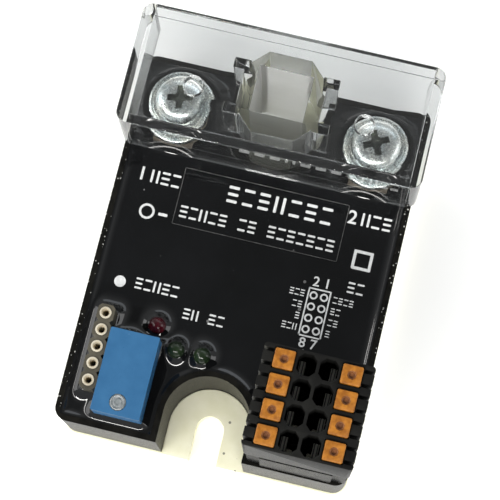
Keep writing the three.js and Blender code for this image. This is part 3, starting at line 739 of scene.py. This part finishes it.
# ------------------------------------------------------------------ white print
def print_marks(resin_height):
    """Plain printed marks that lie on the resin: a dot, signs, a pin chart and single pole numbers."""
    shape = bmesh.new()
    ink = 0.02 * MM
    level = SURFACE + 0.03 * MM
    label_low, label_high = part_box("label_film")
    on_label = label_high.z + 0.01 * MM
    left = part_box("housing_frame")[0].x
    centre = (label_low + label_high) / 2

    def lay_down(marks):
        """Lets flat marks follow the resin where it climbs."""
        for vert in marks.verts:
            vert.co.z += max(0.0, resin_height(vert.co.x, vert.co.y) - SURFACE)

    def bar(x, y, width, depth, z=level):
        corners = slab(shape, (x, y, z + ink / 2), (width, depth, ink))
        upright = [
            edge for edge in {edge for vert in corners for edge in vert.link_edges}
            if abs(edge.verts[0].co.z - edge.verts[1].co.z) > ink / 2]
        bmesh.ops.bevel(
            shape, geom=upright, offset=min(width, depth) * 0.3, segments=3, profile=0.5, affect="EDGES",
            offset_type="OFFSET", material=-1)

    def ring(x, y, outer, inner, z=level):
        profile = [(inner, z), (outer, z), (outer, z + ink), (inner, z + ink)]
        other = turned(profile, x, y, 28)
        mesh = bpy.data.meshes.new("ring")
        other.to_mesh(mesh)
        other.free()
        shape.from_mesh(mesh)
        bpy.data.meshes.remove(mesh)

    def outline(x, y, width, depth, line, z=level):
        for side in (-1, 1):
            bar(x + side * (width - line) / 2, y, line, depth, z)
            bar(x, y + side * (depth - line) / 2, width, line, z)

    def sign(kind, x, y, width, height, z):
        """One plain sign in a line of print: two posts, two rails or a stack of three."""
        line = 0.17 * height
        if kind == "posts":
            for side in (-1, 1):
                bar(x + side * (width - line) / 2, y, line, height, z)
        else:
            rails = (-1, 1) if kind == "rails" else (-1, 0, 1)
            for side in rails:
                bar(x, y + side * (height - line) / 2, width, line, z)

    def words(x, y, kinds, height, z=level, gap=0.32):
        """A line of plain signs where such a part carries wording; x is its left end."""
        width = 0.62 * height
        for index, kind in enumerate(kinds):
            if kind != "space":
                sign(kind, x + (index + 0.5) * width * (1 + gap), y, width, height, z)

    # Status dot and the lines by the lamps.
    ring(left + 4.6 * MM, -6.5 * MM, 0.88 * MM, 0.0001 * MM)
    words(-15.5 * MM, -6.15 * MM, ["stack", "rails", "posts", "stack", "rails"], 1.7 * MM)
    words(-7.4 * MM, -9.0 * MM, ["stack", "posts", "space", "stack", "rails"], 1.6 * MM)
    # Terminal lines beside the pole numbers.
    words(-17.3 * MM, 10.4 * MM, ["posts", "stack", "rails"], 2.0 * MM)
    words(15.3 * MM, 11.2 * MM, ["posts", "rails", "stack"], 2.0 * MM)
    # Two lines on the label film.
    words(centre.x - 6.0 * MM, centre.y + 2.0 * MM,
          ["stack", "rails", "stack", "posts", "rails", "stack", "rails"], 2.6 * MM, on_label, 0.5)
    words(centre.x - 12.2 * MM, centre.y - 2.3 * MM,
          ["stack", "rails", "posts", "rails", "stack", "space", "rails", "stack", "space",
           "stack", "rails", "stack", "rails", "stack", "rails", "stack"], 1.85 * MM, on_label)
    # Two plain approval places: an open square and a ring with a bar.
    outline(17.0 * MM, 5.0 * MM, 3.0 * MM, 3.0 * MM, 0.45 * MM)
    ring(-16.4 * MM, 4.9 * MM, 1.2 * MM, 0.85 * MM)
    bar(-13.9 * MM, 4.9 * MM, 1.4 * MM, 0.45 * MM)
    # Connector mark and pin chart.
    words(15.6 * MM, 0.6 * MM, ["stack", "rails"], 1.7 * MM)
    chart_x = 11.9 * MM
    chart_y = -4.45 * MM
    pitch = 1.75 * MM
    small = 1.0 * MM
    outline(chart_x, chart_y, 3.5 * MM, 7.5 * MM, 0.22 * MM)
    left_lines = (["stack", "rails", "stack"], ["rails", "stack"], ["stack"], ["stack", "rails", "posts"])
    right_lines = (["rails", "stack", "rails", "stack"], ["stack", "rails"], ["rails", "stack"], ["stack"])
    step = 0.62 * small * 1.32
    for row in range(4):
        y = chart_y + (1.5 - row) * pitch
        for side in (-1, 1):
            ring(chart_x + side * 0.8 * MM, y, 0.62 * MM, 0.36 * MM)
        words(chart_x - 2.1 * MM - step * len(left_lines[row]), y, left_lines[row], small)
        words(chart_x + 2.1 * MM, y, right_lines[row], small)
    lay_down(shape)
    piece("print_marks", shape, "ink", BASE, smooth=20)

    # Painted highlight: a thin lighter outline along the label's edge stands in for the light caught at the
    # film's rim.
    shape = bmesh.new()
    label_size = label_high - label_low
    outline(centre.x, centre.y, label_size.x, label_size.y, 0.12 * MM, label_high.z)
    piece("label_edge_painted_highlight", shape, "film_edge_painted_highlight", BASE, smooth=20)

    numerals = [
        ("1", -18.5 * MM, 10.4 * MM, 2.1 * MM), ("2", 14.1 * MM, 11.1 * MM, 2.1 * MM),
        ("2", chart_x - 0.85 * MM, chart_y + 4.7 * MM, 1.5 * MM),
        ("1", chart_x + 0.85 * MM, chart_y + 4.7 * MM, 1.5 * MM),
        ("8", chart_x - 0.85 * MM, chart_y - 4.75 * MM, 1.5 * MM),
        ("7", chart_x + 0.85 * MM, chart_y - 4.75 * MM, 1.5 * MM)]
    for index, (text, x, y, size) in enumerate(numerals):
        curve = bpy.data.curves.new("numeral", "FONT")
        curve.body = text
        curve.size = size / 0.72
        curve.extrude = ink / 2
        curve.offset = size * 0.02
        curve.align_x = "CENTER"
        curve.align_y = "CENTER"
        thing = bpy.data.objects.new("numeral", curve)
        bpy.context.scene.collection.objects.link(thing)
        bpy.context.view_layer.update()
        mesh = bpy.data.meshes.new_from_object(thing.evaluated_get(bpy.context.evaluated_depsgraph_get()))
        bpy.data.objects.remove(thing)
        figure = bmesh.new()
        figure.from_mesh(mesh)
        bmesh.ops.remove_doubles(figure, verts=figure.verts, dist=0.0005 * MM)
        bmesh.ops.translate(figure, verts=figure.verts, vec=(x, y, level + ink / 2))
        bmesh.ops.recalc_face_normals(figure, faces=figure.faces)
        lay_down(figure)
        piece(f"pole_number_{index + 1}", figure, "ink", BASE, smooth=20)


# ------------------------------------------------------------------ floor, light and camera
def aim(thing, place, target):
    thing.location = place
    direction = (Vector(target) - Vector(place)).normalized()
    thing.rotation_mode = "QUATERNION"
    thing.rotation_quaternion = direction.to_track_quat("-Z", "Y")


def floor():
    shape = bmesh.new()
    bmesh.ops.create_grid(shape, x_segments=2, y_segments=2, size=1.5)
    mesh = bpy.data.meshes.new("floor")
    shape.to_mesh(mesh)
    shape.free()
    finish = Finish("pale_floor", 0.9)
    finish.shader.inputs["Base Color"].default_value = (0.95, 0.95, 0.95, 1)
    finish.shader.inputs["Emission Color"].default_value = (1, 1, 1, 1)
    finish.shader.inputs["Emission Strength"].default_value = 0.15
    mesh.materials.append(finish.material)
    ground = bpy.data.objects.new("floor", mesh)
    bpy.context.scene.collection.objects.link(ground)


def soft_light(name, azimuth, lean, size, radiance, colour=(1, 1, 1), distance=0.8):
    """A rectangle of light: azimuth in degrees from +X, lean in degrees from straight overhead."""
    lamp = bpy.data.lights.new(name, "AREA")
    lamp.shape = "RECTANGLE"
    lamp.size, lamp.size_y = size
    lamp.energy = radiance * math.pi * size[0] * size[1]
    lamp.color = colour
    thing = bpy.data.objects.new(name, lamp)
    bpy.context.scene.collection.objects.link(thing)
    turn = math.radians(azimuth)
    tilt = math.radians(lean)
    flat = math.sin(tilt)
    direction = Vector((flat * math.cos(turn), flat * math.sin(turn), math.cos(tilt)))
    aim(thing, direction * distance, (0, 0, 0.015))


def soft_room():
    """Even light all round, dimmer straight overhead so that flat gloss stays dark."""
    world = bpy.data.worlds.new("soft_room")
    world.use_nodes = True
    tree = world.node_tree
    direction = add(tree, "SeparateXYZ", {0: add(tree, "TexCoord").outputs["Generated"]})
    strength = spread(tree, direction.outputs["Z"], 0.70, 0.94, 0.58, 0.17)
    backdrop = tree.nodes["Background"]
    backdrop.inputs["Color"].default_value = (0.97, 0.99, 1.0, 1)
    tree.links.new(strength, backdrop.inputs["Strength"])
    bpy.context.scene.world = world


def studio():
    soft_room()
    soft_light("front_strip", 270, 38, (0.9, 0.055), 39.0, (1.0, 0.985, 0.95))
    soft_light("left_strip", 205, 40, (0.8, 0.05), 14.0, (1.0, 0.985, 0.95))
    soft_light("back_band", 80, 51, (0.9, 0.18), 1.5, (0.86, 0.93, 1.0))
    soft_light("left_window", 178, 66, (0.5, 0.4), 2.6)
    soft_light("right_window", 2, 68, (0.5, 0.4), 2.2)
    bpy.context.scene.view_settings.view_transform = "Standard"


def camera():
    """Close, almost overhead, a little in front of the relay, rolled so that it leans to the right."""
    lens = bpy.data.cameras.new("camera")
    lens.sensor_width = 36
    lens.lens = 133.3
    lens.clip_start = 0.01
    thing = bpy.data.objects.new("camera", lens)
    bpy.context.scene.collection.objects.link(thing)
    target = Vector((-0.9, 6.1, 0)) * MM
    place = Vector((17.7, -51.2, 290.1)) * MM
    aim(thing, place, target)
    roll = Matrix.Rotation(math.radians(-4.413), 4, "Z")
    thing.rotation_quaternion = thing.rotation_quaternion @ roll.to_quaternion()
    bpy.context.scene.camera = thing


camera()
plate_and_walls()
hidden_parts()
resin_height = resin_surface()
signal_relay()
socket_strip()
lamps()
header_and_plug()
terminal_hardware()
clear_cover()
label_film()
print_marks(resin_height)
floor()
studio()
